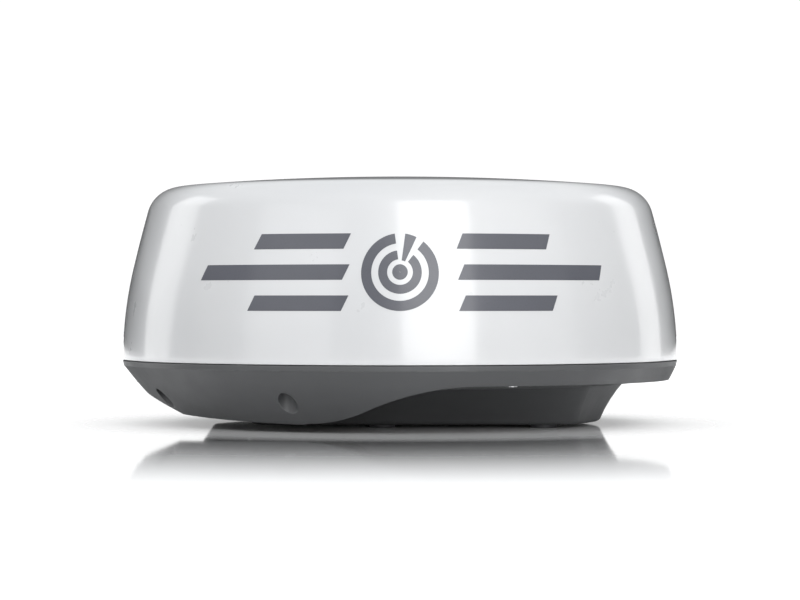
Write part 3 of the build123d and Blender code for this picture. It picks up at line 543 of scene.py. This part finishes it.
def on_wall(arc_length, z):
    """Point just outside the wall at a distance round it from the front."""
    radius = dome_radius(z) + DECAL_LIFT
    turn = arc_length / dome_radius((DECAL_LOW + DECAL_HIGH) / 2)
    return Vector((radius * math.sin(turn), -radius * math.cos(turn), z))


def add_patch(mesh, columns):
    """Faces between columns of (arc length, height) points."""
    rows = [[mesh.verts.new(on_wall(*p)) for p in column] for column in columns]
    for left, right in zip(rows, rows[1:]):
        for i in range(len(left) - 1):
            mesh.faces.new((left[i], right[i], right[i + 1], left[i + 1]))


def add_bar(mesh, start, end, low, high, slant):
    """Horizontal bar with slanted ends."""
    steps = max(8, int(abs(end - start) / 0.004))
    columns = []
    for i in range(steps + 1):
        along = start + (end - start) * i / steps
        columns.append([(along + slant * k / 4, low + (high - low) * k / 4) for k in range(5)])
    add_patch(mesh, columns)


def add_ring(mesh, centre_z, inner, outer, start, end):
    """Part of a flat ring, from one angle to another, measured from straight up."""
    steps = max(12, int((end - start) / math.radians(4)))
    columns = []
    for i in range(steps + 1):
        turn = start + (end - start) * i / steps
        columns.append([(math.sin(turn) * r, centre_z + math.cos(turn) * r)
                        for r in (inner, (inner + outer) / 2, outer)])
    add_patch(mesh, columns)


def decal():
    s = Shader("decal_ink")
    s.set(Coat_Weight=0.35, Coat_Roughness=0.12)
    tint = s.mix(s.spread(s.noise(9, 3), 0.3, 0.7), shade(DECAL_COLOUR, 0.94), shade(DECAL_COLOUR, 1.08))
    s.colour(s.mix(s.spread(s.noise(900, 2), 0.55, 0.7, 0, 0.4), tint, shade(DECAL_COLOUR, 0.8)))
    s.roughness(s.spread(s.noise(50, 3), 0.3, 0.7, 0.30, 0.38))
    s.bump(s.noise(700, 2), 0.00001, 0.4)
    mesh = bmesh.new()
    middle = (DECAL_LOW + DECAL_HIGH) / 2
    height = DECAL_HIGH - DECAL_LOW
    reach = DECAL_HALF_ANGLE * dome_radius(middle)
    big = height / 2
    for share, width in SIGN_RINGS:
        add_ring(mesh, middle, big * share - width, big * share, math.radians(38), math.radians(352))
    add_ring(mesh, middle, 0.0002, big * 0.20, 0, math.tau * 0.9999)
    add_ring(mesh, middle, big * 0.30, big, math.radians(8), math.radians(26))
    bar = height / 5
    for row, share in enumerate(BAR_REACHES):
        low = DECAL_LOW + 2 * row * bar
        tip = big + SIGN_TO_BARS + (reach - big - SIGN_TO_BARS) * share
        for side in (-1, 1):
            add_bar(mesh, side * (big + SIGN_TO_BARS), side * (tip - BAR_SLANT), low, low + bar, BAR_SLANT)
    make_object("decal_mark", mesh, "radome", "cover_white", s.material)


# ====================================================================================================
# CAD nodes
# ====================================================================================================

def dress_cad_nodes(finishes):
    slots = {row["node"]: row["material_slot"] for row in frame["record"]["subparts"]}
    for name, node in frame["nodes"].items():
        node.data.materials.clear()
        node.data.materials.append(finishes[slots[name]])
        for face in node.data.polygons:
            face.use_smooth = True
        node.data.set_sharp_from_angle(angle=math.radians(28))


# ====================================================================================================
# Stage
# ====================================================================================================

def stage_object(name, mesh, material):
    data = bpy.data.meshes.new(name)
    mesh.to_mesh(data)
    mesh.free()
    data.materials.append(material)
    made = bpy.data.objects.new(name, data)
    bpy.context.scene.collection.objects.link(made)
    return made


def floor():
    """Pale polished floor: its mirror fades with distance from the object; its painted glow is off near the
    object and rises outward, which paints shade on the floor round the object.
    """
    mesh = bmesh.new()
    bmesh.ops.create_circle(mesh, cap_ends=True, radius=FLOOR_RADIUS, segments=128)
    s = Shader("floor_white")
    s.set(Base_Color=(0.88, 0.88, 0.88, 1), Roughness=0.6, Emission_Color=(1, 1, 1, 1))
    gloss = s.node("ShaderNodeBsdfGlossy")
    gloss.inputs["Color"].default_value = (1, 1, 1, 1)
    gloss.inputs["Roughness"].default_value = 0.05
    distance = s.node("ShaderNodeVectorMath", operation="LENGTH")
    s.link(s.place, distance.inputs[0])
    # Painted glow that rises with distance from the axis, leaving painted shade on the floor round the
    # object.
    s.link(s.spread(distance.outputs["Value"], *FLOOR_PAINTED_GLOW_AND_SHADE), s.surface.inputs["Emission Strength"])
    fade = s.spread(distance.outputs["Value"], *MIRROR_FADE)
    fade.node.interpolation_type = "SMOOTHSTEP"
    under = s.spread(distance.outputs["Value"], *MIRROR_UNDER)
    mix = s.node("ShaderNodeMixShader")
    s.link(s.math("MULTIPLY", fade, under), mix.inputs["Fac"])
    s.link(s.surface.outputs["BSDF"], mix.inputs[1])
    s.link(gloss.outputs["BSDF"], mix.inputs[2])
    s.link(mix.outputs["Shader"], s.tree.nodes["Material Output"].inputs["Surface"])
    return stage_object("floor", mesh, s.material)


def horizon_card(floor_plane):
    """Low white ring round the floor, lit on its inner face and for the floor alone, which mirrors it."""
    mesh = bmesh.new()
    lathe(mesh, [(CARD_RADIUS, 0.0), (CARD_RADIUS, CARD_HEIGHT)], 96)
    s = Shader("card_white")
    glow = s.node("ShaderNodeEmission")
    glow.inputs["Strength"].default_value = CARD_LIGHT
    clear = s.node("ShaderNodeBsdfTransparent")
    mix = s.node("ShaderNodeMixShader")
    s.link(s.node("ShaderNodeNewGeometry").outputs["Backfacing"], mix.inputs["Fac"])
    s.link(clear.outputs["BSDF"], mix.inputs[1])
    s.link(glow.outputs["Emission"], mix.inputs[2])
    s.link(mix.outputs["Shader"], s.tree.nodes["Material Output"].inputs["Surface"])
    made = stage_object("horizon_card", mesh, s.material)
    lit = bpy.data.collections.new("lit_by_card")
    lit.objects.link(floor_plane)
    made.light_linking.receiver_collection = lit


def area_light(name, place, size, power):
    data = bpy.data.lights.new(name, "AREA")
    data.shape = "RECTANGLE"
    data.size, data.size_y = size
    data.energy = power
    made = bpy.data.objects.new(name, data)
    made.location = place
    made.rotation_euler = (Vector(LIGHT_AIM) - Vector(place)).to_track_quat("-Z", "Y").to_euler()
    bpy.context.scene.collection.objects.link(made)


def lights():
    """Two side strips, a bright front panel right of the camera and a dimmer fill on each side of it."""
    for name, (azimuth, distance, height, size, power) in LIGHTS.items():
        turn = math.radians(azimuth)
        place = (distance * math.sin(turn), -distance * math.cos(turn), height)
        area_light(name, place, size, power)


def world():
    """White behind the object; the light that reaches it is dim at the horizon and bright overhead."""
    made = bpy.data.worlds.new("studio")
    bpy.context.scene.world = made
    made.use_nodes = True
    tree = made.node_tree
    tree.nodes.clear()
    direction = tree.nodes.new("ShaderNodeTexCoord")
    split = tree.nodes.new("ShaderNodeSeparateXYZ")
    tree.links.new(direction.outputs["Generated"], split.inputs["Vector"])
    rise = tree.nodes.new("ShaderNodeMapRange")
    rise.interpolation_type = "SMOOTHSTEP"
    set_range(rise, 0.15, 0.75, HORIZON_LIGHT, SKY_LIGHT)
    tree.links.new(split.outputs["Z"], rise.inputs["Value"])
    fill = tree.nodes.new("ShaderNodeBackground")
    fill.inputs["Color"].default_value = (0.97, 0.985, 1, 1)
    tree.links.new(rise.outputs["Result"], fill.inputs["Strength"])
    seen = tree.nodes.new("ShaderNodeBackground")
    seen.inputs["Color"].default_value = (1, 1, 1, 1)
    seen.inputs["Strength"].default_value = BACKDROP_LIGHT
    path = tree.nodes.new("ShaderNodeLightPath")
    mix = tree.nodes.new("ShaderNodeMixShader")
    out = tree.nodes.new("ShaderNodeOutputWorld")
    tree.links.new(path.outputs["Is Camera Ray"], mix.inputs["Fac"])
    tree.links.new(fill.outputs["Background"], mix.inputs[1])
    tree.links.new(seen.outputs["Background"], mix.inputs[2])
    tree.links.new(mix.outputs["Shader"], out.inputs["Surface"])


def camera():
    data = bpy.data.cameras.new("camera")
    data.lens = CAMERA_LENS
    data.sensor_width = 36
    data.clip_end = 200
    made = bpy.data.objects.new("camera", data)
    made.location = (0, -CAMERA_DISTANCE, CAMERA_HEIGHT)
    made.rotation_euler = (math.pi / 2, 0, 0)
    bpy.context.scene.collection.objects.link(made)
    bpy.context.scene.camera = made


camera()
bpy.context.scene.view_settings.view_transform = "Standard"
finishes = slot_materials()
dress_cad_nodes(finishes)
inside_finish = cover_inside()
cover_shell(finishes["cover_white"], inside_finish)
cover_bosses(inside_finish)
decal()
horizon_card(floor())
lights()
world()
